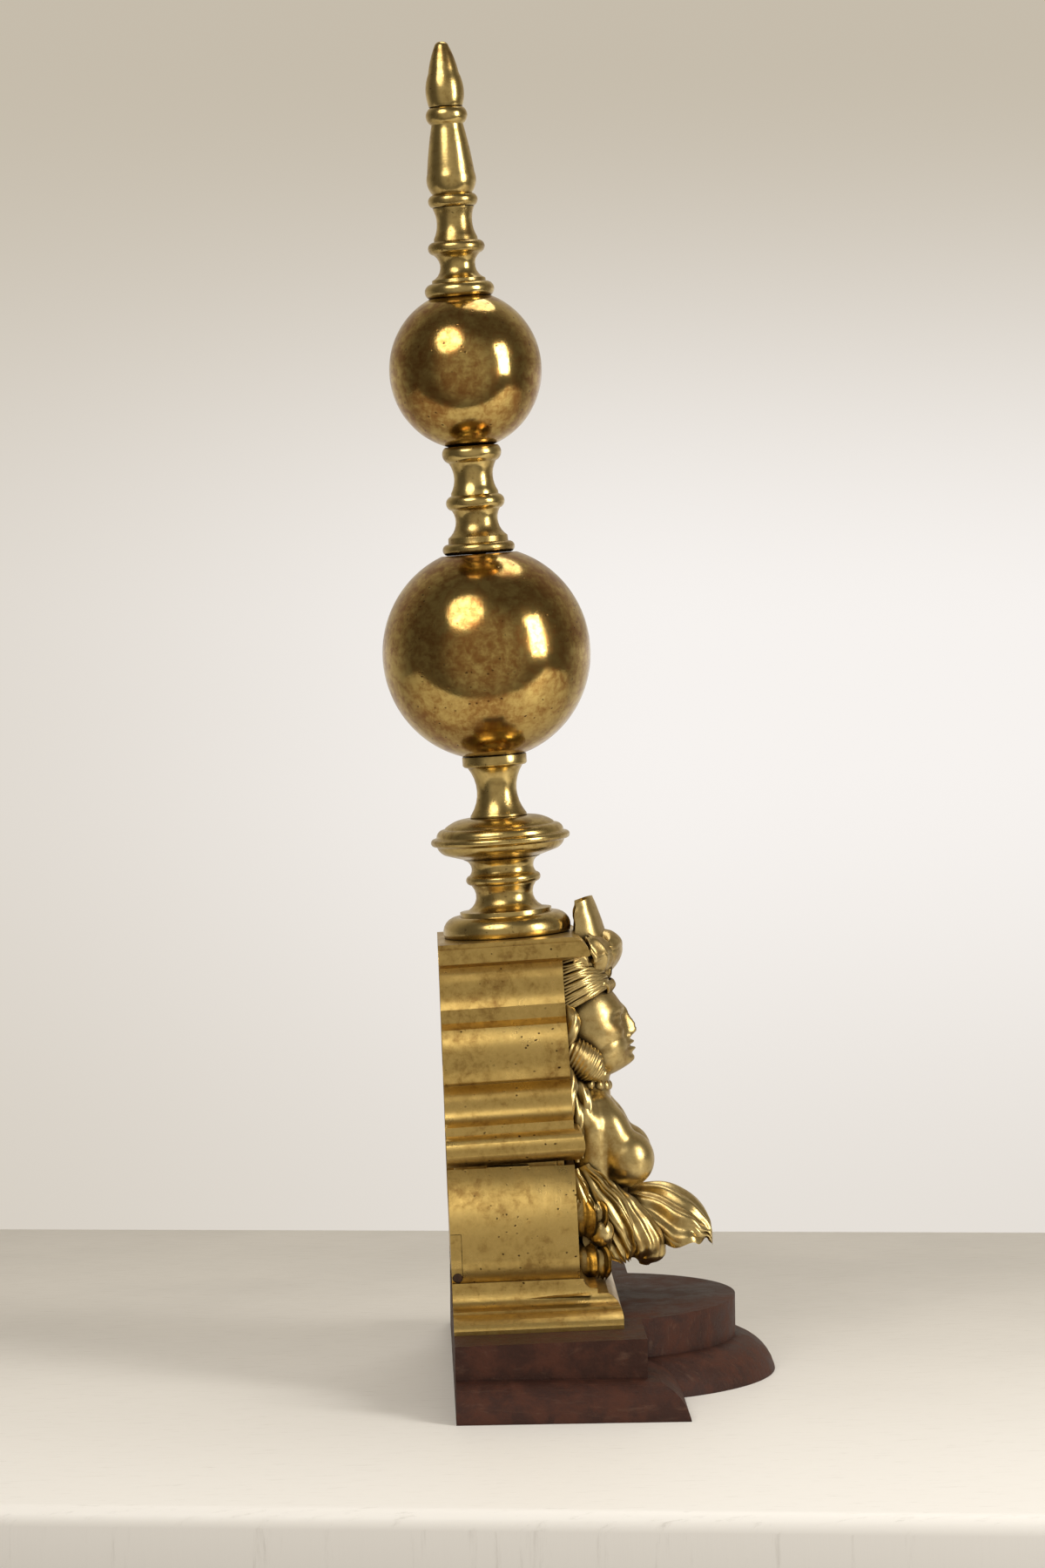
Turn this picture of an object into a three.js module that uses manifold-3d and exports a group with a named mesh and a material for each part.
// A tall figural andiron front: an iron base, a two-piece brass plinth, a figure with acanthus
// leaves on the plinth's front, and a turned brass column of balls and spools on an iron tie rod.
// Millimetres, +Z up. The front faces -Y. The rear faces of the base and plinth meet the floor
// line at y = 0 before the whole is centred on its footprint.

import * as THREE from 'three';
import { mergeVertices } from 'three/addons/utils/BufferGeometryUtils.js';
import Module from 'manifold-3d';

// ---- Driving dimensions ------------------------------------------------------------------

const seatGap = 0.3;            // between pieces that rest on or are let into each other
const turnedSides = 28;         // facets round a large turned piece
const slimSides = 16;           // facets round a slim turned piece
const boltSides = 10;           // facets round a bolt or pin
const arcSteps = 3;             // chords in a small moulding's arc

const plinthLean = THREE.MathUtils.degToRad(1.5);   // the base's top slopes back by this much
const upperLean = THREE.MathUtils.degToRad(3.0);    // backward lean of the upper casting
const columnLean = THREE.MathUtils.degToRad(3.5);   // backward lean of the turned column

const baseHalfWidth = 155.5;
const baseDepth = 105;
const baseRearHeight = 39.2;    // up to the sloping top, at the rear face
const baseFlareHeight = 20.5;
const baseFlareOut = 22.5;
const tongueRadius = 96.5;
const tongueCentreDepth = 66.5; // of the round tongue's centre, from the rear face
const baseWall = 9;

const castWall = 5;             // of both brass castings
const lowerHeight = 86;
const lowerFrontDepth = 71.5;
const lowerTopHalfWidth = 70;
const bellyHalfWidth = 93;
const bellyHeight = 38;
const bellyFootHalfWidth = 90.5;
const bellyFootHeight = 24.9;
const cavettoHalfWidth = 100;
const stepHalfWidth = 106;
const stepBottom = 9.5;
const stepTop = 10.9;
const footHalfWidth = 119;
const stepDepth = 81;
const footShoulderDepth = 87;
const footShoulderHeight = 16.5;
const footDepth = 94;

const upperHeight = 124.3;
const upperFrontDepth = 72.8;
const plinthBeadHalfWidth = 70;
const plinthBeadHeight = 17.2;
const plinthBeadFootHalfWidth = 65;
const plinthBeadDepth = 78.3;
const neckFilletHalfWidth = 60;
const neckFilletTop = 21.8;
const neckHalfWidth = 50;
const ovoloFoot = 44.8;
const ovoloFootHalfWidth = 56;
const ovoloHalfWidth = 58;
const ovoloTop = 79.2;
const ovoloTopHalfWidth = 46;
const scotiaFoot = 86.8;
const scotiaFootHalfWidth = 43;
const scotiaHalfWidth = 39;
const corniceHeight = 11.1;
const corniceHalfWidth = 52;
const corniceCap = 2.8;         // of the cornice's narrower top edge
const corniceTopHalfWidth = 50;
const corniceDepth = 88.6;
const corniceRound = 11;        // of the cornice's rounded front edge
const topPlate = 6;             // thickness under the column

const columnDepth = 43.5;       // of the column's axis, along the plinth's top from its rear plane
const ballWall = 3;
const bigBallRadius = 59.75;
const bigBallStretch = 1.024;   // of its height against its width
const bigBallFootSeat = 18.2;   // radius of the ball's flat on the neck
const bigBallTopSeat = 21.7;
const smallBallRadius = 43.6;
const smallBallStretch = 1.039;
const smallBallFootSeat = 12.5;
const smallBallTopSeat = 17.7;
const lapHeight = 3;            // of the lip that centres one half ball in the other
const saucerRadius = 39.9;
const neckRadius = 15.5;        // of the neck at its foot
const spoolRadius = 17.2;       // of the two spools' rounded feet
const stemRadius = 12;          // of the finial at its foot
const footRadius = 36.9;
const rodRadius = 4;
const rodClearance = 0.4;

const columnFootLength = 44.6;  // lengths of the turned pieces, joint to joint
const saucerLength = 23.4;
const neckLength = 35.5;
const middleSpoolLength = 61.7;
const upperSpoolLength = 51.4;
const stemLength = 56.9;
const tipLength = 37.3;

const boltRadius = 4;
const boltHeadAcross = 13;
const boltHeadHeight = 5.5;
const nutHeight = 6.5;
const boltClearance = 0.5;
const lugThickness = 7;
const baseBoltX = 66;
const baseBoltDepth = 34;
const jointBoltX = 46;
const jointBoltDepth = 34;

const backBarHeight = 24;
const backBarThickness = 6;
const backBarFoot = 28;
const lockPinRadius = 2.6;
const lockPinLength = 14;

const figureScrewRadius = 3;
const figureScrewHeights = [92, 142, 205];
const figureScrewHead = 10;     // across its flats
const figureScrewTip = 86;      // depth that the screws reach, from the rear plane

// ---- Materials ---------------------------------------------------------------------------

const finish = (color, roughness, metalness) => ({ color, roughness, metalness });
const brassFinish = finish(0xb08a3e, 0.32, 1);
const wornBrassFinish = finish(0x9a7030, 0.38, 1);
const castIronFinish = finish(0x3a211c, 0.75, 0.6);
const steelFinish = finish(0x4a423c, 0.6, 0.9);

// ---- Solids ------------------------------------------------------------------------------

const wasm = await Module();
wasm.setup();

/** A closed geometry as a solid, with its faces turned outwards. */
function toSolid(geometry) {
  const bare = new THREE.BufferGeometry();
  bare.setAttribute('position', geometry.getAttribute('position').clone());
  if (geometry.index) {
    bare.setIndex(geometry.index.clone());
  }
  const merged = mergeVertices(bare, 1e-4);
  const position = merged.getAttribute('position');
  const corner = [new THREE.Vector3(), new THREE.Vector3(), new THREE.Vector3()];
  const kept = [];
  let volume = 0;
  for (let i = 0; i < merged.index.count; i += 3) {
    const [a, b, c] = [0, 1, 2].map((k) => merged.index.getX(i + k));
    if (a === b || b === c || c === a) {
      continue;
    }
    kept.push(a, b, c);
    [a, b, c].forEach((vertex, k) => corner[k].fromBufferAttribute(position, vertex));
    volume += corner[0].dot(corner[1].cross(corner[2]));
  }
  if (volume < 0) {
    kept.reverse();
  }
  return new wasm.Manifold(new wasm.Mesh({
    numProp: 3,
    vertProperties: new Float32Array(position.array),
    triVerts: new Uint32Array(kept),
  }));
}

function toGeometry(solid) {
  const mesh = solid.getMesh();
  const geometry = new THREE.BufferGeometry();
  geometry.setAttribute('position', new THREE.BufferAttribute(mesh.vertProperties, 3));
  geometry.setIndex(new THREE.BufferAttribute(mesh.triVerts, 1));
  geometry.computeVertexNormals();
  return geometry;
}

const joined = (solids) => solids.reduce((whole, solid) => whole.add(solid));
const cutBy = (solid, cutters) => cutters.reduce((rest, cutter) => rest.subtract(cutter), solid);
const placed = (solid, matrix) => solid.transform(matrix.elements);
const moved = (solid, x, y, z) => solid.translate([x, y, z]);

/** The solid and its mirror image across the middle plane. */
const bothSides = (solid) => solid.add(solid.mirror([1, 0, 0]));

/** A box between two corners. */
function boxSolid(low, high) {
  const geometry = new THREE.BoxGeometry(high[0] - low[0], high[1] - low[1], high[2] - low[2]);
  geometry.translate((low[0] + high[0]) / 2, (low[1] + high[1]) / 2, (low[2] + high[2]) / 2);
  return toSolid(geometry);
}

/** An upright cylinder, or a prism where it has few sides. */
function postSolid(radius, low, high, sides = boltSides) {
  const geometry = new THREE.CylinderGeometry(radius, radius, high - low, sides);
  geometry.rotateX(Math.PI / 2);
  geometry.translate(0, 0, (low + high) / 2);
  return toSolid(geometry);
}

/** A hexagon of the given width across its flats. */
const hexSolid = (across, low, high) => postSolid(across / Math.sqrt(3), low, high, 6);

function ellipsoidSolid(centre, radii, sides = 12, rings = 8) {
  const geometry = new THREE.SphereGeometry(1, sides, rings);
  geometry.scale(radii.x, radii.y, radii.z);
  geometry.translate(centre.x, centre.y, centre.z);
  return toSolid(geometry);
}

/** An outline drawn upwards through half-width or radius and height. */
class Outline {
  constructor(across, height) {
    this.points = [new THREE.Vector2(across, height)];
  }

  to(across, height) {
    this.points.push(new THREE.Vector2(across, height));
    return this;
  }

  /** A circular arc that bows out by the given amount, or in where it is negative. */
  bow(across, height, amount, steps = arcSteps) {
    const start = this.points[this.points.length - 1];
    const end = new THREE.Vector2(across, height);
    const along = end.clone().sub(start);
    const chord = along.length();
    along.normalize();
    const out = new THREE.Vector2(along.y, -along.x).multiplyScalar(Math.sign(amount));
    const rise = Math.abs(amount);
    const radius = (chord * chord / 4 + rise * rise) / (2 * rise);
    const centre = start.clone().lerp(end, 0.5).addScaledVector(out, rise - radius);
    const halfAngle = 2 * Math.atan(2 * rise / chord);
    for (let i = 1; i <= steps; i++) {
      const angle = halfAngle * (2 * i / steps - 1);
      this.points.push(centre.clone()
        .addScaledVector(out, radius * Math.cos(angle))
        .addScaledVector(along, radius * Math.sin(angle)));
    }
    return this;
  }

  /** Part of an ellipse about (0, centre), from the last height to the given one. */
  ellipse(centre, radius, halfHeight, height, steps) {
    const last = this.points[this.points.length - 1];
    const start = Math.asin(THREE.MathUtils.clamp((last.y - centre) / halfHeight, -1, 1));
    const end = Math.asin(THREE.MathUtils.clamp((height - centre) / halfHeight, -1, 1));
    for (let i = 1; i <= steps; i++) {
      const angle = THREE.MathUtils.lerp(start, end, i / steps);
      this.to(radius * Math.cos(angle), centre + halfHeight * Math.sin(angle));
    }
    return this;
  }
}

/** A solid of revolution about Z from an outline that ends on the axis or closes on itself. */
function turnedSolid(outline, sides) {
  const geometry = new THREE.LatheGeometry(outline.points, sides);
  geometry.rotateX(Math.PI / 2);
  return toSolid(geometry);
}

/** A turned piece with the tie rod's bore through it. */
function boredSolid(outline, sides) {
  const bore = rodRadius + rodClearance;
  const points = outline.points;
  const first = points[0];
  const last = points[points.length - 1];
  const ring = new Outline(bore, first.y);
  ring.points.push(...points);
  ring.to(bore, last.y).to(bore, first.y);
  return turnedSolid(ring, sides);
}

/** A prism of a half outline and its mirror image, running back from the given depth. */
function sideProfileSolid(outline, frontDepth, rearDepth = 0) {
  const right = outline.points;
  const left = [...right].reverse().map((point) => new THREE.Vector2(-point.x, point.y));
  const geometry = new THREE.ExtrudeGeometry(new THREE.Shape([...right, ...left]), {
    depth: frontDepth - rearDepth,
    bevelEnabled: false,
  });
  geometry.rotateX(Math.PI / 2);
  geometry.translate(0, -rearDepth, 0);
  return toSolid(geometry);
}

/** A prism across the whole width, whose front follows an outline of depth and height. */
function frontProfileSolid(outline, halfWidth, rearDepth = 0) {
  const points = outline.points;
  const first = points[0];
  const last = points[points.length - 1];
  const shape = new THREE.Shape([
    new THREE.Vector2(rearDepth, first.y),
    ...points,
    new THREE.Vector2(rearDepth, last.y),
  ]);
  const geometry = new THREE.ExtrudeGeometry(shape, { depth: 2 * halfWidth, bevelEnabled: false });
  geometry.rotateX(Math.PI / 2);
  geometry.rotateZ(-Math.PI / 2);
  geometry.translate(halfWidth, 0, 0);
  return toSolid(geometry);
}

// ---- Frames ------------------------------------------------------------------------------

const leanMatrix = (angle) => new THREE.Matrix4().makeRotationX(-angle);
const shiftMatrix = (x, y, z) => new THREE.Matrix4().makeTranslation(x, y, z);

// Each frame stands on the one before it: the base's sloping top, the lower casting, the upper.
const upperOnLower = shiftMatrix(0, 0, lowerHeight + seatGap)
  .multiply(leanMatrix(upperLean - plinthLean));
const columnOnUpper = shiftMatrix(0, -columnDepth, upperHeight)
  .multiply(leanMatrix(columnLean - upperLean));
const plinthFrame = shiftMatrix(0, 0, baseRearHeight).multiply(leanMatrix(plinthLean));
const upperFrame = plinthFrame.clone().multiply(upperOnLower);
const columnFrame = upperFrame.clone().multiply(columnOnUpper);

/** The same solid seen from a frame that is turned or moved against its own. */
const seenFrom = (solid, frame) => placed(solid, frame.clone().invert());

// ---- Iron base ---------------------------------------------------------------------------

const reach = 400;              // longer than any piece, for cutting blocks
const flareBow = 0.29 * Math.min(baseFlareOut, baseFlareHeight);
const baseTopLimit = baseRearHeight + 20;

function flaredOutline(foot) {
  return new Outline(foot, 0)
    .bow(foot - baseFlareOut, baseFlareHeight, flareBow, 6)
    .to(foot - baseFlareOut, baseTopLimit);
}

function ironBase() {
  const footHalf = baseHalfWidth + baseFlareOut;
  const footFront = baseDepth + baseFlareOut;
  const block = sideProfileSolid(flaredOutline(footHalf), footFront + 1)
    .intersect(frontProfileSolid(flaredOutline(footFront), footHalf + 1, -1));
  const disc = flaredOutline(tongueRadius + baseFlareOut);
  disc.points.unshift(new THREE.Vector2(0, 0));
  disc.to(0, baseTopLimit);
  const tongue = moved(turnedSolid(disc, 2 * turnedSides), 0, -tongueCentreDepth, 0);
  const behind = boxSolid([-reach, 0, -1], [reach, reach, reach]);
  const above = placed(boxSolid([-reach, -reach, 0], [reach, reach, reach]), plinthFrame);

  const innerHalf = baseHalfWidth - baseWall;
  const deep = baseTopLimit;
  const ceiling = placed(boxSolid([-reach, -reach, -baseWall], [reach, reach, reach]), plinthFrame);
  const underBlock = boxSolid([-innerHalf, baseWall - baseDepth, -1], [innerHalf, -baseWall, deep]);
  const underTongue = moved(
    postSolid(tongueRadius - baseWall, -1, deep, 2 * turnedSides), 0, -tongueCentreDepth, 0);
  const rearWall = boxSolid([-reach, -baseWall, -reach], [reach, reach, reach]);
  const hollow = cutBy(underBlock.add(underTongue), [ceiling, rearWall]);

  const boltHoles = placed(bothSides(moved(
    postSolid(boltRadius + boltClearance, -reach, reach), baseBoltX, -baseBoltDepth, 0)), plinthFrame);
  return cutBy(block.add(tongue), [behind, above, hollow, boltHoles]);
}

// ---- Lower casting of the plinth ---------------------------------------------------------

const bellyBow = 5;

const lowerSide = new Outline(footHalfWidth, 0)
  .to(footHalfWidth, 2)
  .bow(stepHalfWidth, stepBottom, 1.6, 3)
  .to(stepHalfWidth, stepTop)
  .to(cavettoHalfWidth, stepTop + 0.6)
  .bow(bellyFootHalfWidth + 2, bellyFootHeight - 1, -2.6)
  .to(bellyFootHalfWidth + 2, bellyFootHeight)
  .to(bellyFootHalfWidth, bellyFootHeight)
  .bow(bellyHalfWidth, bellyHeight, 0.7, 3)
  .bow(lowerTopHalfWidth, lowerHeight, bellyBow, 7);

const lowerFront = new Outline(footDepth, 0)
  .to(footDepth, 3)
  .bow(footShoulderDepth, footShoulderHeight, 2.6)
  .to(stepDepth, footShoulderHeight)
  .to(stepDepth, footShoulderHeight + 3)
  .bow(lowerFrontDepth + 2, bellyFootHeight - 1, -2)
  .to(lowerFrontDepth + 2, bellyFootHeight)
  .to(lowerFrontDepth, bellyFootHeight)
  .to(lowerFrontDepth, lowerHeight);

const lowerOuter = sideProfileSolid(lowerSide, footDepth + 1)
  .intersect(frontProfileSolid(lowerFront, footHalfWidth + 1, -1));

const backBarBlock = (gap) => boxSolid(
  [-reach, -backBarThickness - gap, backBarFoot - gap],
  [reach, gap, backBarFoot + backBarHeight + gap]);

/** The right-hand pin that locks the back bar, driven in from the side along its lower edge. */
function lockPinRod(radius) {
  const rod = new THREE.CylinderGeometry(radius, radius, reach, boltSides);
  rod.rotateZ(Math.PI / 2);
  const inner = bellyHalfWidth - lockPinLength;
  rod.translate(inner + reach / 2, -backBarThickness / 2 - seatGap, backBarFoot);
  return toSolid(rod);
}

const boltHole = (x, depth) => bothSides(moved(
  postSolid(boltRadius + boltClearance, -reach, reach), x, -depth, 0));

/** Level rods through the plinth's front, one at each of the figure's screws. */
function figureScrewRods(radius, rear, front) {
  const rod = new THREE.CylinderGeometry(radius, radius, front - rear, boltSides);
  rod.translate(0, -(front + rear) / 2, 0);
  const solid = toSolid(rod);
  return joined(figureScrewHeights.map((height) => moved(solid, 0, 0, height)));
}
const figureScrewHoles = figureScrewRods(figureScrewRadius + boltClearance, castWall, baseDepth);

function lowerPlinth() {
  const cavitySide = new Outline(bellyFootHalfWidth, -1)
    .to(bellyFootHalfWidth, 3)
    .to(bellyFootHalfWidth - castWall, stepTop)
    .to(bellyFootHalfWidth - castWall, bellyFootHeight)
    .bow(bellyHalfWidth - castWall, bellyHeight, 0.7, 3)
    .bow(lowerTopHalfWidth - castWall, lowerHeight, bellyBow, 7)
    .to(lowerTopHalfWidth - castWall, lowerHeight + 1);
  const cavity = sideProfileSolid(cavitySide, lowerFrontDepth - castWall, -1);
  const footLug = boxSolid([baseBoltX - 12, -baseBoltDepth - 13, 0],
    [footHalfWidth, -baseBoltDepth + 13, lugThickness]);
  const topLug = boxSolid([jointBoltX - 11, -jointBoltDepth - 12, lowerHeight - lugThickness],
    [footHalfWidth, -jointBoltDepth + 12, lowerHeight]);
  const lugs = bothSides(footLug.add(topLug)).intersect(lowerOuter);
  return cutBy(lowerOuter.subtract(cavity).add(lugs), [
    backBarBlock(seatGap),
    bothSides(lockPinRod(lockPinRadius + seatGap)),
    boltHole(baseBoltX, baseBoltDepth),
    boltHole(jointBoltX, jointBoltDepth),
    seenFrom(figureScrewHoles, plinthFrame),
  ]);
}

const backBar = () => backBarBlock(0)
  .intersect(lowerOuter)
  .subtract(bothSides(lockPinRod(lockPinRadius + seatGap)));

const lockPin = () => lockPinRod(lockPinRadius).intersect(lowerOuter);

/** A bolt with its head seated at the given height. */
function bolt(x, depth, headSeat, foot) {
  const head = hexSolid(boltHeadAcross, headSeat, headSeat + boltHeadHeight);
  const shank = postSolid(boltRadius, foot, headSeat + 1);
  return moved(head.add(shank), x, -depth, 0);
}

/** A nut whose upper face stands at the given height. */
function nut(x, depth, top) {
  const ring = hexSolid(boltHeadAcross, top - nutHeight, top)
    .subtract(postSolid(boltRadius + seatGap, -reach, reach));
  return moved(ring, x, -depth, 0);
}

const threadOut = 3;            // of a bolt's end beyond its nut
const baseNutTop = -baseWall - seatGap;
const jointNutTop = lowerHeight - lugThickness - seatGap;
const jointHeadSeat = lowerHeight + lugThickness + 2.1;

const baseBolt = () => bolt(
  baseBoltX, baseBoltDepth, lugThickness + seatGap, baseNutTop - nutHeight - threadOut);
const baseNut = () => nut(baseBoltX, baseBoltDepth, baseNutTop);
const jointBolt = () => bolt(
  jointBoltX, jointBoltDepth, jointHeadSeat, jointNutTop - nutHeight - threadOut);
const jointNut = () => nut(jointBoltX, jointBoltDepth, jointNutTop);

// ---- Upper casting of the plinth ---------------------------------------------------------

const corniceFoot = upperHeight - corniceHeight;
const corniceBandTop = upperHeight - corniceCap;

const upperSide = new Outline(plinthBeadFootHalfWidth, 0)
  .bow(neckFilletHalfWidth + 2, plinthBeadHeight, plinthBeadHalfWidth - plinthBeadFootHalfWidth + 1.5, 6)
  .to(neckFilletHalfWidth, plinthBeadHeight)
  .to(neckFilletHalfWidth - 1, neckFilletTop)
  .bow(ovoloFootHalfWidth, ovoloFoot, neckHalfWidth - ovoloHalfWidth + 0.5, 6)
  .to(ovoloFootHalfWidth - 2, ovoloFoot + 0.5)
  .bow(ovoloTopHalfWidth, ovoloTop, 6, 7)
  .to(scotiaFootHalfWidth, ovoloTop)
  .to(scotiaFootHalfWidth, scotiaFoot)
  .bow(corniceHalfWidth - 5, corniceFoot, scotiaHalfWidth - scotiaFootHalfWidth - 1.5, 6)
  .to(corniceHalfWidth, corniceFoot)
  .to(corniceHalfWidth, corniceBandTop)
  .to(corniceTopHalfWidth, corniceBandTop)
  .to(corniceTopHalfWidth, upperHeight);

const upperFront = new Outline(plinthBeadDepth - 3, 0)
  .bow(plinthBeadDepth - 3, plinthBeadHeight, 3, 5)
  .to(upperFrontDepth, plinthBeadHeight)
  .to(upperFrontDepth, corniceFoot)
  .to(corniceDepth, corniceFoot)
  .bow(corniceDepth - corniceRound, upperHeight, 3, 5);

const upperOuter = sideProfileSolid(upperSide, corniceDepth + 1, -castWall)
  .intersect(frontProfileSolid(upperFront, plinthBeadHalfWidth + 10, -castWall - 1))
  .subtract(seenFrom(boxSolid([-reach, 0, -reach], [reach, reach, reach]), upperOnLower));

function upperPlinth() {
  const cavitySide = new Outline(plinthBeadFootHalfWidth - castWall, -1)
    .to(neckFilletHalfWidth - castWall, plinthBeadHeight)
    .to(neckHalfWidth - castWall, neckFilletTop + 8)
    .to(neckHalfWidth - castWall, ovoloFoot)
    .to(ovoloHalfWidth - castWall - 2, ovoloFoot + 14)
    .to(ovoloTopHalfWidth - castWall, ovoloTop - 4)
    .to(scotiaHalfWidth - castWall, scotiaFoot)
    .to(scotiaHalfWidth - castWall, upperHeight - topPlate);
  const cavity = sideProfileSolid(cavitySide, upperFrontDepth - castWall, -reach / 4);
  const lug = boxSolid([jointBoltX - 11, -jointBoltDepth - 12, 0],
    [plinthBeadHalfWidth, -jointBoltDepth + 12, lugThickness]);
  const rodHole = placed(
    postSolid(rodRadius + 2 * rodClearance, -reach / 4, reach / 4), columnOnUpper);
  return cutBy(upperOuter.subtract(cavity).add(bothSides(lug).intersect(upperOuter)), [
    seenFrom(boltHole(jointBoltX, jointBoltDepth), upperOnLower),
    seenFrom(figureScrewHoles, upperFrame),
    rodHole,
  ]);
}

// ---- Turned column, upwards from the plinth's top -----------------------------------------

/** How far a ball's flat of the given radius lies from its centre. */
const seatDistance = (radius, stretch, flat) => radius * stretch * Math.sqrt(1 - (flat / radius) ** 2);

const saucerFoot = columnFootLength;
const neckFoot = saucerFoot + saucerLength;
const neckTop = neckFoot + neckLength;
const bigBallCentre = neckTop + seatDistance(bigBallRadius, bigBallStretch, bigBallFootSeat);
const middleSpoolFoot = bigBallCentre + seatDistance(bigBallRadius, bigBallStretch, bigBallTopSeat);
const middleSpoolTop = middleSpoolFoot + middleSpoolLength;
const smallBallCentre = middleSpoolTop
  + seatDistance(smallBallRadius, smallBallStretch, smallBallFootSeat);
const upperSpoolFoot = smallBallCentre
  + seatDistance(smallBallRadius, smallBallStretch, smallBallTopSeat);
const stemFoot = upperSpoolFoot + upperSpoolLength;
const tipFoot = stemFoot + stemLength;
const tipTop = tipFoot + tipLength;

function columnFoot() {
  const outline = new Outline(footRadius - 0.9, -3)
    .to(footRadius - 0.9, 0)
    .bow(footRadius - 10.7, 12, 4.4, 5)
    .to(footRadius - 10.6, 14.5)
    .bow(footRadius - 18.5, saucerFoot - 15.5, -5.6, 5)
    .bow(footRadius - 17.7, saucerFoot - 9.5, 2.7)
    .bow(saucerRadius - 17.9, saucerFoot - seatGap, -2.7);
  const plinthTop = seenFrom(boxSolid([-reach, -reach, -reach], [reach, reach, seatGap]),
    leanMatrix(columnLean - upperLean));
  return boredSolid(outline, turnedSides).subtract(plinthTop);
}

const saucer = () => boredSolid(new Outline(saucerRadius - 17.9, saucerFoot)
  .to(saucerRadius - 8.8, saucerFoot + 3)
  .bow(saucerRadius - 2.9, saucerFoot + 8.5, 0.9, 2)
  .bow(saucerRadius - 2.4, saucerFoot + 12.8, 2.6, 4)
  .bow(saucerRadius - 7.7, neckFoot - 4.8, 1.2, 3)
  .to(saucerRadius - 8.5, neckFoot - 4.4)
  .bow(neckRadius + 1, neckFoot - seatGap, 1.4, 3), turnedSides);

const neck = () => boredSolid(new Outline(neckRadius, neckFoot)
  .to(neckRadius, neckFoot + 2.2)
  .bow(neckRadius + 0.3, neckTop - 6.7, -4.2, 7)
  .to(neckRadius + 3, neckTop - 6)
  .to(neckRadius + 3, neckTop - seatGap), slimSides);

const middleSpool = () => boredSolid(new Outline(spoolRadius + 1, middleSpoolFoot)
  .bow(spoolRadius, middleSpoolFoot + 6.5, 3)
  .to(spoolRadius - 0.2, middleSpoolFoot + 9.8)
  .bow(spoolRadius - 3.5, middleSpoolFoot + 25.4, -3.1, 6)
  .bow(spoolRadius - 3.6, middleSpoolFoot + 33.8, 3.2)
  .to(spoolRadius - 3.7, middleSpoolFoot + 35.4)
  .bow(spoolRadius - 3.7, middleSpoolTop - 9.2, -2.35, 5)
  .bow(spoolRadius - 2, middleSpoolTop, 2.6), slimSides);

const upperSpool = () => boredSolid(new Outline(spoolRadius + 0.4, upperSpoolFoot)
  .bow(spoolRadius - 1.8, upperSpoolFoot + 8.5, 3.4)
  .to(spoolRadius - 1.9, upperSpoolFoot + 10.3)
  .bow(spoolRadius - 4, upperSpoolFoot + 24.7, -4.2, 6)
  .bow(spoolRadius - 4.6, upperSpoolFoot + 32.1, 3.4)
  .to(spoolRadius - 4.7, upperSpoolFoot + 33.8)
  .bow(stemRadius, stemFoot - seatGap, -2.1, 5), slimSides);

/** One hollow half of a ball, with the lip of the lower half inside the upper one. */
function halfBall({ centre, radius, stretch, sides, poleSeat, upper }) {
  const halfHeight = radius * stretch;
  const innerRadius = radius - ballWall;
  const innerHalf = halfHeight - ballWall;
  const side = upper ? 1 : -1;
  const poleInside = poleSeat - side * ballWall;
  const lip = radius - ballWall / 2;
  const outside = new Outline(radius * Math.sqrt(1 - ((poleSeat - centre) / halfHeight) ** 2), poleSeat)
    .ellipse(centre, radius, halfHeight, centre + (upper ? seatGap : 0), 7);
  if (upper) {
    outside.to(lip + seatGap, centre + seatGap)
      .to(lip + seatGap, centre + lapHeight + seatGap);
  } else {
    outside.to(lip, centre)
      .to(lip, centre + lapHeight);
  }
  const inside = new Outline(innerRadius, centre + lapHeight + (upper ? seatGap : 0))
    .ellipse(centre, innerRadius, innerHalf, poleInside, 4);
  outside.points.push(...inside.points);
  return boredSolid(outside, sides);
}

const bigBall = {
  centre: bigBallCentre,
  radius: bigBallRadius,
  stretch: bigBallStretch,
  sides: turnedSides,
};
const smallBall = {
  centre: smallBallCentre,
  radius: smallBallRadius,
  stretch: smallBallStretch,
  sides: turnedSides - 4,
};

const spigotRadius = 3;         // of the stem's top, inside the finial's tip
const spigotLength = 7;
const socketDepth = 22;         // of the hole that takes the tie rod's end

function finialStem() {
  const socketTop = stemFoot + socketDepth;
  const outline = new Outline(0, socketTop)
    .to(rodRadius + rodClearance, socketTop)
    .to(rodRadius + rodClearance, stemFoot)
    .to(stemRadius, stemFoot)
    .bow(stemRadius - 0.7, stemFoot + 7.5, 2.6)
    .bow(stemRadius + 1.6, stemFoot + 19.3, 1.6)
    .to(stemRadius - 2.9, tipFoot - 10)
    .bow(stemRadius - 2.6, tipFoot - seatGap, 2.7, 5)
    .to(spigotRadius, tipFoot - seatGap)
    .to(spigotRadius, tipFoot + spigotLength)
    .to(0, tipFoot + spigotLength);
  return turnedSolid(outline, slimSides);
}

function finialTip() {
  const socket = spigotRadius + seatGap;
  const socketTop = tipFoot + spigotLength + seatGap;
  const outline = new Outline(0, socketTop)
    .to(socket, socketTop)
    .to(socket, tipFoot)
    .to(stemRadius - 2.3, tipFoot)
    .bow(stemRadius - 3.25, tipFoot + 19.3, 1.75, 5)
    .bow(stemRadius - 7.8, tipTop - 3, 0.5, 3)
    .bow(0, tipTop, 1, 3);
  return turnedSolid(outline, slimSides);
}

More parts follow.
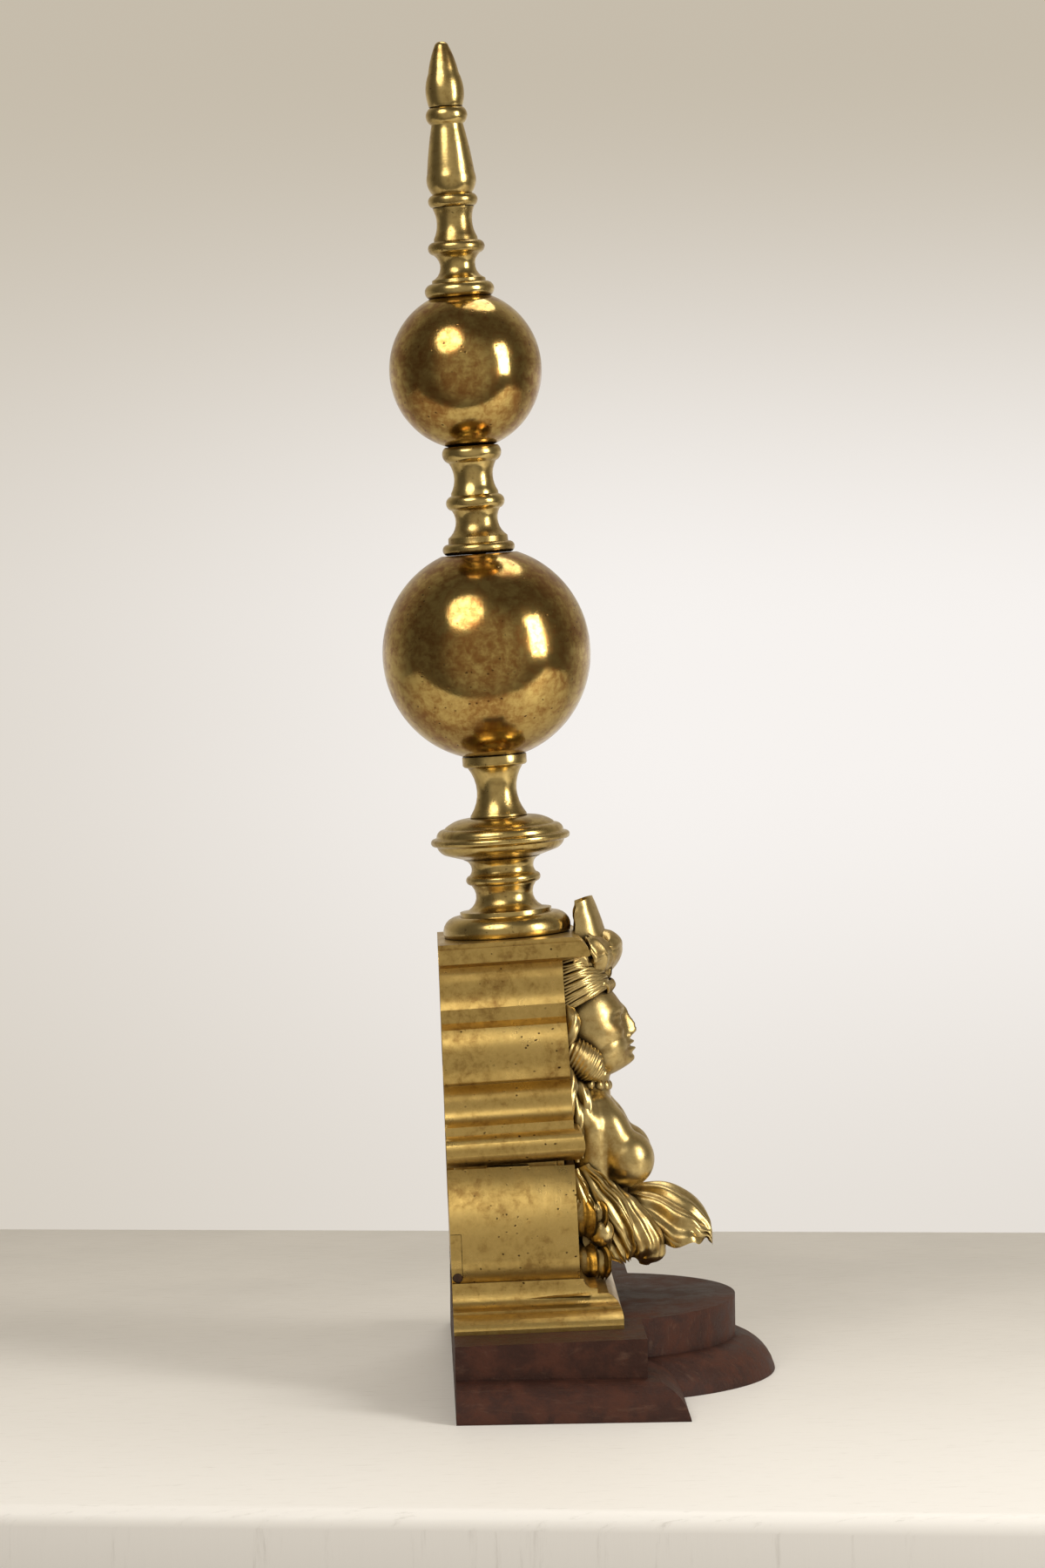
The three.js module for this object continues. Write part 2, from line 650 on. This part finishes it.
const rodNutTop = -topPlate - 3.6;
const rodFoot = rodNutTop - nutHeight - 5;
const tieRod = () => postSolid(rodRadius, rodFoot, stemFoot + socketDepth - 1);
const rodNut = () => hexSolid(16, rodNutTop - nutHeight, rodNutTop)
  .subtract(postSolid(rodRadius + seatGap, -reach, reach));
const rodWasher = () => postSolid(13, rodNutTop + seatGap, -topPlate - 0.6)
  .subtract(postSolid(rodRadius + rodClearance, -reach, reach));

// ---- Figure on the plinth's front --------------------------------------------------------

/** A point of the figure: across, forward of the rear plane, above the floor. */
const at = (across, forward, height) => new THREE.Vector3(across, -forward, height);

/** A closed body through rings of equally many points, with a fan over each end. */
function loftSolid(rings) {
  const count = rings[0].length;
  const middle = (ring) => ring.reduce((sum, point) => sum.add(point), new THREE.Vector3())
    .divideScalar(count);
  const first = middle(rings[0]);
  const last = middle(rings[rings.length - 1]);
  const points = [...rings.flat(), first, last];
  const firstIndex = points.length - 2;
  const lastIndex = points.length - 1;
  const faces = [];
  for (let i = 0; i < count; i++) {
    const next = (i + 1) % count;
    for (let r = 0; r + 1 < rings.length; r++) {
      const low = r * count;
      const high = low + count;
      faces.push(low + i, low + next, high + next, low + i, high + next, high + i);
    }
    const end = (rings.length - 1) * count;
    faces.push(firstIndex, next, i, lastIndex, end + i, end + next);
  }
  const geometry = new THREE.BufferGeometry().setFromPoints(points);
  geometry.setIndex(faces);
  return toSolid(geometry);
}

/** A value between evenly spaced ones, eased from each to the next. */
function eased(values, t) {
  const place = Math.min(t * (values.length - 1), values.length - 1 - 1e-9);
  const i = Math.floor(place);
  return THREE.MathUtils.lerp(values[i], values[i + 1], THREE.MathUtils.smoothstep(place - i, 0, 1));
}

/** The frame of a spine at t: its place, its direction, the given way across it and its normal. */
function spineFrame(curve, across, t) {
  const centre = curve.getPoint(t);
  const tangent = curve.getTangent(t);
  const side = across.clone().addScaledVector(tangent, -across.dot(tangent)).normalize();
  const normal = new THREE.Vector3().crossVectors(tangent, side);
  return { centre, side, normal };
}

/** A leaf blade lofted along a spine, ribbed along its length and cupped across it. */
function leafSolid({ spine, across, halfWidths, thickness, cup = 0, ribs = 0, steps = 6, strips = 4 }) {
  const curve = new THREE.CatmullRomCurve3(spine);
  const rings = [];
  for (let s = 0; s <= steps; s++) {
    const t = s / steps;
    const { centre, side, normal } = spineFrame(curve, across, t);
    const halfWidth = eased(halfWidths, t);
    const face = (i, sign) => {
      const u = 2 * i / strips - 1;
      const rib = (i % 2 ? -ribs : ribs) * Math.min(1, halfWidth / 8);
      const body = sign * thickness / 2 * (1 - 0.6 * u * u);
      return centre.clone()
        .addScaledVector(side, u * halfWidth)
        .addScaledVector(normal, cup * halfWidth * (1 - u * u) + rib + body);
    };
    const ring = [];
    for (let i = 0; i <= strips; i++) {
      ring.push(face(i, 1));
    }
    for (let i = strips; i >= 0; i--) {
      ring.push(face(i, -1));
    }
    rings.push(ring);
  }
  return loftSolid(rings);
}

/** A rounded body along a spine, as wide and as deep as the two lists say, with ribs round it. */
function rollSolid({ spine, across, halfWidths, halfDepths, ribs = 0, steps = 6, sides = 12 }) {
  const curve = new THREE.CatmullRomCurve3(spine);
  const rings = [];
  for (let s = 0; s <= steps; s++) {
    const t = s / steps;
    const { centre, side, normal } = spineFrame(curve, across, t);
    rings.push(Array.from({ length: sides }, (_, i) => {
      const angle = 2 * Math.PI * i / sides;
      const swell = 1 + (i % 2 ? -ribs : ribs);
      return centre.clone()
        .addScaledVector(side, Math.cos(angle) * eased(halfWidths, t) * swell)
        .addScaledVector(normal, Math.sin(angle) * eased(halfDepths, t) * swell);
    }));
  }
  return loftSolid(rings);
}

const sideways = new THREE.Vector3(1, 0, 0);
const upright = new THREE.Vector3(0, 0, 1);
const forwards = new THREE.Vector3(0, -1, 0);

/** The head with its hair and neck, upright against the upper casting. */
function headSolid() {
  const skull = ellipsoidSolid(at(0, 79, 202), new THREE.Vector3(22, 22, 27), 14, 9);
  const jaw = ellipsoidSolid(at(0, 85, 183), new THREE.Vector3(16.5, 16, 15.5), 12, 8);
  const nose = rollSolid({
    spine: [at(0, 99, 205), at(0, 103, 199), at(0, 105.5, 193.5), at(0, 100, 191)],
    across: sideways,
    halfWidths: [2, 2.4, 4, 3],
    halfDepths: [1.5, 2.5, 3, 2],
    steps: 5,
    sides: 8,
  });
  const lips = ellipsoidSolid(at(0, 99.5, 183.5), new THREE.Vector3(6.5, 4, 3.4), 8, 5);
  const chin = ellipsoidSolid(at(0, 97, 174.5), new THREE.Vector3(6.5, 5.5, 5), 8, 5);
  const neckColumn = rollSolid({
    spine: [at(0, 80, 178), at(0, 76, 162), at(0, 77, 148)],
    across: sideways,
    halfWidths: [13, 13, 20],
    halfDepths: [12, 13, 14],
    steps: 5,
  });
  const hairCap = ellipsoidSolid(at(0, 70, 205), new THREE.Vector3(26, 22, 28), 12, 7);
  const sweptLock = leafSolid({
    spine: [at(5, 96, 226), at(17, 93, 222), at(26, 82, 212), at(27, 66, 203)],
    across: new THREE.Vector3(0, -0.5, 1),
    halfWidths: [3, 7, 10, 11],
    thickness: 8,
    ribs: 0.8,
    strips: 6,
  });
  const jawRoll = rollSolid({
    spine: [at(22, 64, 190), at(23, 76, 184), at(19, 86, 174), at(13, 90, 169)],
    across: upright,
    halfWidths: [7, 9.5, 8, 3],
    halfDepths: [6, 7.5, 7, 3],
    ribs: 0.05,
    sides: 10,
  });
  const fallingLock = leafSolid({
    spine: [at(27, 70, 176), at(31, 74, 158), at(33, 76, 140), at(34, 73, 124)],
    across: forwards,
    halfWidths: [3, 5, 6, 3],
    thickness: 7,
    ribs: 0.7,
  });
  return joined([skull, jaw, nose, lips, chin, neckColumn, hairCap,
    bothSides(sweptLock), bothSides(jawRoll), bothSides(fallingLock)]);
}

/** The leaves that stand up over the brow, in front of the cornice. */
function crownSolid() {
  const middleLeaf = leafSolid({
    spine: [at(0, 90, 222), at(0, 95, 236), at(0, 95, 248), at(0, 87, 259), at(0, 78, 271)],
    across: sideways,
    halfWidths: [7, 12, 13, 15, 9],
    thickness: 9,
    cup: -0.15,
    ribs: 0.9,
    strips: 6,
  });
  const sideLeaf = leafSolid({
    spine: [at(12, 86, 224), at(20, 90, 236), at(24, 89, 246), at(27, 81, 254)],
    across: new THREE.Vector3(1, 0.5, 0),
    halfWidths: [5, 9, 9, 4],
    thickness: 7,
    cup: -0.15,
    ribs: 0.7,
    strips: 4,
  });
  return middleLeaf.add(bothSides(sideLeaf));
}

const beadRadius = 2.8;
const necklaceRadius = 13.6;
const necklaceBeads = 5;        // across the front of the neck

function necklaceSolid() {
  const bead = ellipsoidSolid(at(0, 0, 0), new THREE.Vector3().setScalar(beadRadius), 6, 4);
  const beads = [];
  for (let i = 0; i < necklaceBeads; i++) {
    const angle = Math.PI * (0.16 + 0.68 * i / (necklaceBeads - 1));
    const forward = 76 + necklaceRadius * Math.sin(angle);
    const height = 163.5 - 2.5 * Math.sin(angle);
    beads.push(moved(bead, necklaceRadius * Math.cos(angle), -forward, height));
  }
  return joined(beads);
}

/** The bare shoulders and chest, as on a classical bust. */
function chestSolid() {
  const torso = rollSolid({
    spine: [at(0, 76, 157), at(0, 79, 149), at(0, 80, 136), at(0, 80, 118), at(0, 82, 100)],
    across: sideways,
    halfWidths: [17, 33, 36, 32, 25],
    halfDepths: [12, 15, 20, 23, 22],
    steps: 6,
    sides: 14,
  });
  const round = ellipsoidSolid(at(19, 99.5, 122), new THREE.Vector3(16.5, 17, 17.5), 12, 8);
  return torso.add(bothSides(round));
}

/** The acanthus leaves that the bust rises from, and the flower on each side below them. */
function skirtSolid() {
  const waist = rollSolid({
    spine: [at(0, 80, 112), at(0, 80, 98), at(0, 78, 84), at(0, 74, 70)],
    across: sideways,
    halfWidths: [27, 28, 24, 12],
    halfDepths: [24, 24, 18, 8],
    steps: 5,
    sides: 14,
  });
  const middleLeaf = leafSolid({
    spine: [at(0, 84, 100), at(0, 104, 104), at(0, 120, 105), at(0, 137, 97), at(0, 147, 84), at(0, 151, 72)],
    across: sideways,
    halfWidths: [10, 17, 24, 22, 14, 4],
    thickness: 6,
    cup: -0.3,
    ribs: 1.6,
    steps: 9,
    strips: 6,
  });
  const rolledLeaf = rollSolid({
    spine: [at(17, 88, 112), at(21, 95, 100), at(22, 104, 86), at(20, 112, 76), at(18, 116, 67)],
    across: sideways,
    halfWidths: [4, 8, 11, 12, 6],
    halfDepths: [4, 8, 12, 12, 5],
    ribs: 0.05,
    steps: 8,
    sides: 12,
  });
  const sideLeaf = leafSolid({
    spine: [at(32, 72, 118), at(34, 78, 104), at(35, 86, 88), at(33, 96, 70)],
    across: new THREE.Vector3(0.3, -1, 0.5),
    halfWidths: [6, 11, 10, 5],
    thickness: 7,
    cup: 0.2,
    ribs: 1.2,
    strips: 6,
  });
  const bud = ellipsoidSolid(at(42, 80, 84), new THREE.Vector3(8, 9, 9), 10, 7);
  const lobe = (spine, widths) => leafSolid({
    spine,
    across: new THREE.Vector3(0.6, -0.8, 0),
    halfWidths: widths,
    thickness: 5,
    cup: 0.2,
    ribs: 0.5,
    steps: 4,
  });
  const upperLobe = lobe([at(44, 72, 80), at(50, 75, 90), at(52, 73, 102)], [4, 6.5, 3]);
  const lowerLobe = lobe([at(44, 74, 80), at(50, 76, 70), at(52, 73, 58)], [4, 6, 3]);
  const frontLobe = lobe([at(40, 78, 78), at(42, 82, 68), at(43, 80, 58)], [3, 4, 2.5]);
  const stalk = rollSolid({
    spine: [at(14, 76, 76), at(28, 76, 76), at(44, 76, 80)],
    across: upright,
    halfWidths: [6, 6, 7],
    halfDepths: [6, 6, 6],
    steps: 3,
    sides: 8,
  });
  return joined([waist, middleLeaf, bothSides(rolledLeaf), bothSides(sideLeaf), bothSides(bud),
    bothSides(upperLobe), bothSides(lowerLobe), bothSides(frontLobe), bothSides(stalk)]);
}

/** A solid thickened by a small gap forwards, upwards and downwards. */
const withGap = (solid) => joined([
  moved(solid, 0, -seatGap, 0), moved(solid, 0, 0, seatGap), moved(solid, 0, 0, -seatGap)]);

const plinthEnvelope = withGap(placed(lowerOuter, plinthFrame)).add(withGap(placed(upperOuter, upperFrame)));
const behindPlinthFront = boxSolid([-reach, 5 - lowerFrontDepth, -reach], [reach, reach, reach]);
const screwSockets = figureScrewRods(figureScrewRadius + seatGap, castWall, figureScrewTip + 2);

const waistHeight = 104.5;      // of the joint between the bust and its leaf skirt
const waistFront = 112;

function figureBust() {
  const whole = joined([headSolid(), crownSolid(), necklaceSolid(), chestSolid()]);
  const belowWaist = boxSolid([-reach, -reach, -reach], [reach, reach, waistHeight]);
  return cutBy(whole, [belowWaist, behindPlinthFront, plinthEnvelope, screwSockets]);
}

function leafSkirt() {
  const aboveWaist = boxSolid([-reach, -waistFront, waistHeight - seatGap], [reach, reach, reach]);
  return cutBy(skirtSolid(), [aboveWaist, behindPlinthFront, plinthEnvelope, screwSockets]);
}

/** How far forward a face of constant depth in a leaning frame stands at a height. */
function depthAt(frame, depth, height) {
  const foot = new THREE.Vector3(0, -depth, 0).applyMatrix4(frame);
  const up = new THREE.Vector3(0, -depth, 1).applyMatrix4(frame).sub(foot);
  return -foot.addScaledVector(up, (height - foot.z) / up.z).y;
}

/** A screw at the given height, from inside the plinth into the back of the figure. */
function figureScrew(height) {
  const inLower = height < waistHeight;
  const wallFace = inLower
    ? depthAt(plinthFrame, lowerFrontDepth - castWall, height)
    : depthAt(upperFrame, upperFrontDepth - castWall, height);
  const seat = wallFace - 2 * seatGap;
  const screw = hexSolid(figureScrewHead, seat - 4, seat)
    .add(postSolid(figureScrewRadius, seat - 1, figureScrewTip))
    .rotate([90, 0, 0]);
  return moved(screw, 0, 0, height);
}

// ---- Assembly ----------------------------------------------------------------------------

function piece(name, solid, { color, roughness, metalness }) {
  const mesh = new THREE.Mesh(
    toGeometry(solid),
    new THREE.MeshStandardMaterial({ color, roughness, metalness }),
  );
  mesh.name = name;
  return mesh;
}

/** A right-hand fastener and its mirror image. */
const pairOf = (name, solid) => [
  piece(`${name}_right`, solid, steelFinish),
  piece(`${name}_left`, solid.mirror([1, 0, 0]), steelFinish),
];

const column = new THREE.Group();
column.position.set(0, -columnDepth, upperHeight);
column.rotation.x = upperLean - columnLean;
column.add(
  piece('column_foot', columnFoot(), brassFinish),
  piece('saucer', saucer(), brassFinish),
  piece('ball_neck', neck(), brassFinish),
  piece('big_ball_lower', halfBall({ ...bigBall, poleSeat: neckTop + seatGap, upper: false }),
    wornBrassFinish),
  piece('big_ball_upper', halfBall({ ...bigBall, poleSeat: middleSpoolFoot - seatGap, upper: true }),
    wornBrassFinish),
  piece('middle_spool', middleSpool(), brassFinish),
  piece('small_ball_lower', halfBall({ ...smallBall, poleSeat: middleSpoolTop + seatGap, upper: false }),
    wornBrassFinish),
  piece('small_ball_upper', halfBall({ ...smallBall, poleSeat: upperSpoolFoot - seatGap, upper: true }),
    wornBrassFinish),
  piece('upper_spool', upperSpool(), brassFinish),
  piece('finial_stem', finialStem(), brassFinish),
  piece('finial_tip', finialTip(), brassFinish),
  piece('tie_rod', tieRod(), steelFinish),
  piece('rod_washer', rodWasher(), steelFinish),
  piece('rod_nut', rodNut(), steelFinish),
);

const upperPart = new THREE.Group();
upperPart.position.set(0, 0, lowerHeight + seatGap);
upperPart.rotation.x = plinthLean - upperLean;
upperPart.add(piece('upper_plinth', upperPlinth(), brassFinish), column);

const plinth = new THREE.Group();
plinth.position.set(0, 0, baseRearHeight);
plinth.rotation.x = -plinthLean;
plinth.add(
  piece('lower_plinth', lowerPlinth(), brassFinish),
  piece('back_bar', backBar(), brassFinish),
  ...pairOf('lock_pin', lockPin()),
  ...pairOf('base_bolt', baseBolt()),
  ...pairOf('base_nut', baseNut()),
  ...pairOf('joint_bolt', jointBolt()),
  ...pairOf('joint_nut', jointNut()),
  upperPart,
);

const andiron = new THREE.Group();
andiron.add(
  piece('iron_base', ironBase(), castIronFinish),
  plinth,
  piece('figure_bust', figureBust(), brassFinish),
  piece('leaf_skirt', leafSkirt(), brassFinish),
  ...figureScrewHeights.map((height, i) => piece(`figure_screw_${i + 1}`, figureScrew(height), steelFinish)),
);

// The origin lies on the floor, at the middle of the whole footprint.
const extent = new THREE.Box3().setFromObject(andiron, true);
const centre = extent.getCenter(new THREE.Vector3());
andiron.position.set(-centre.x, -centre.y, -extent.min.z);

export default andiron;
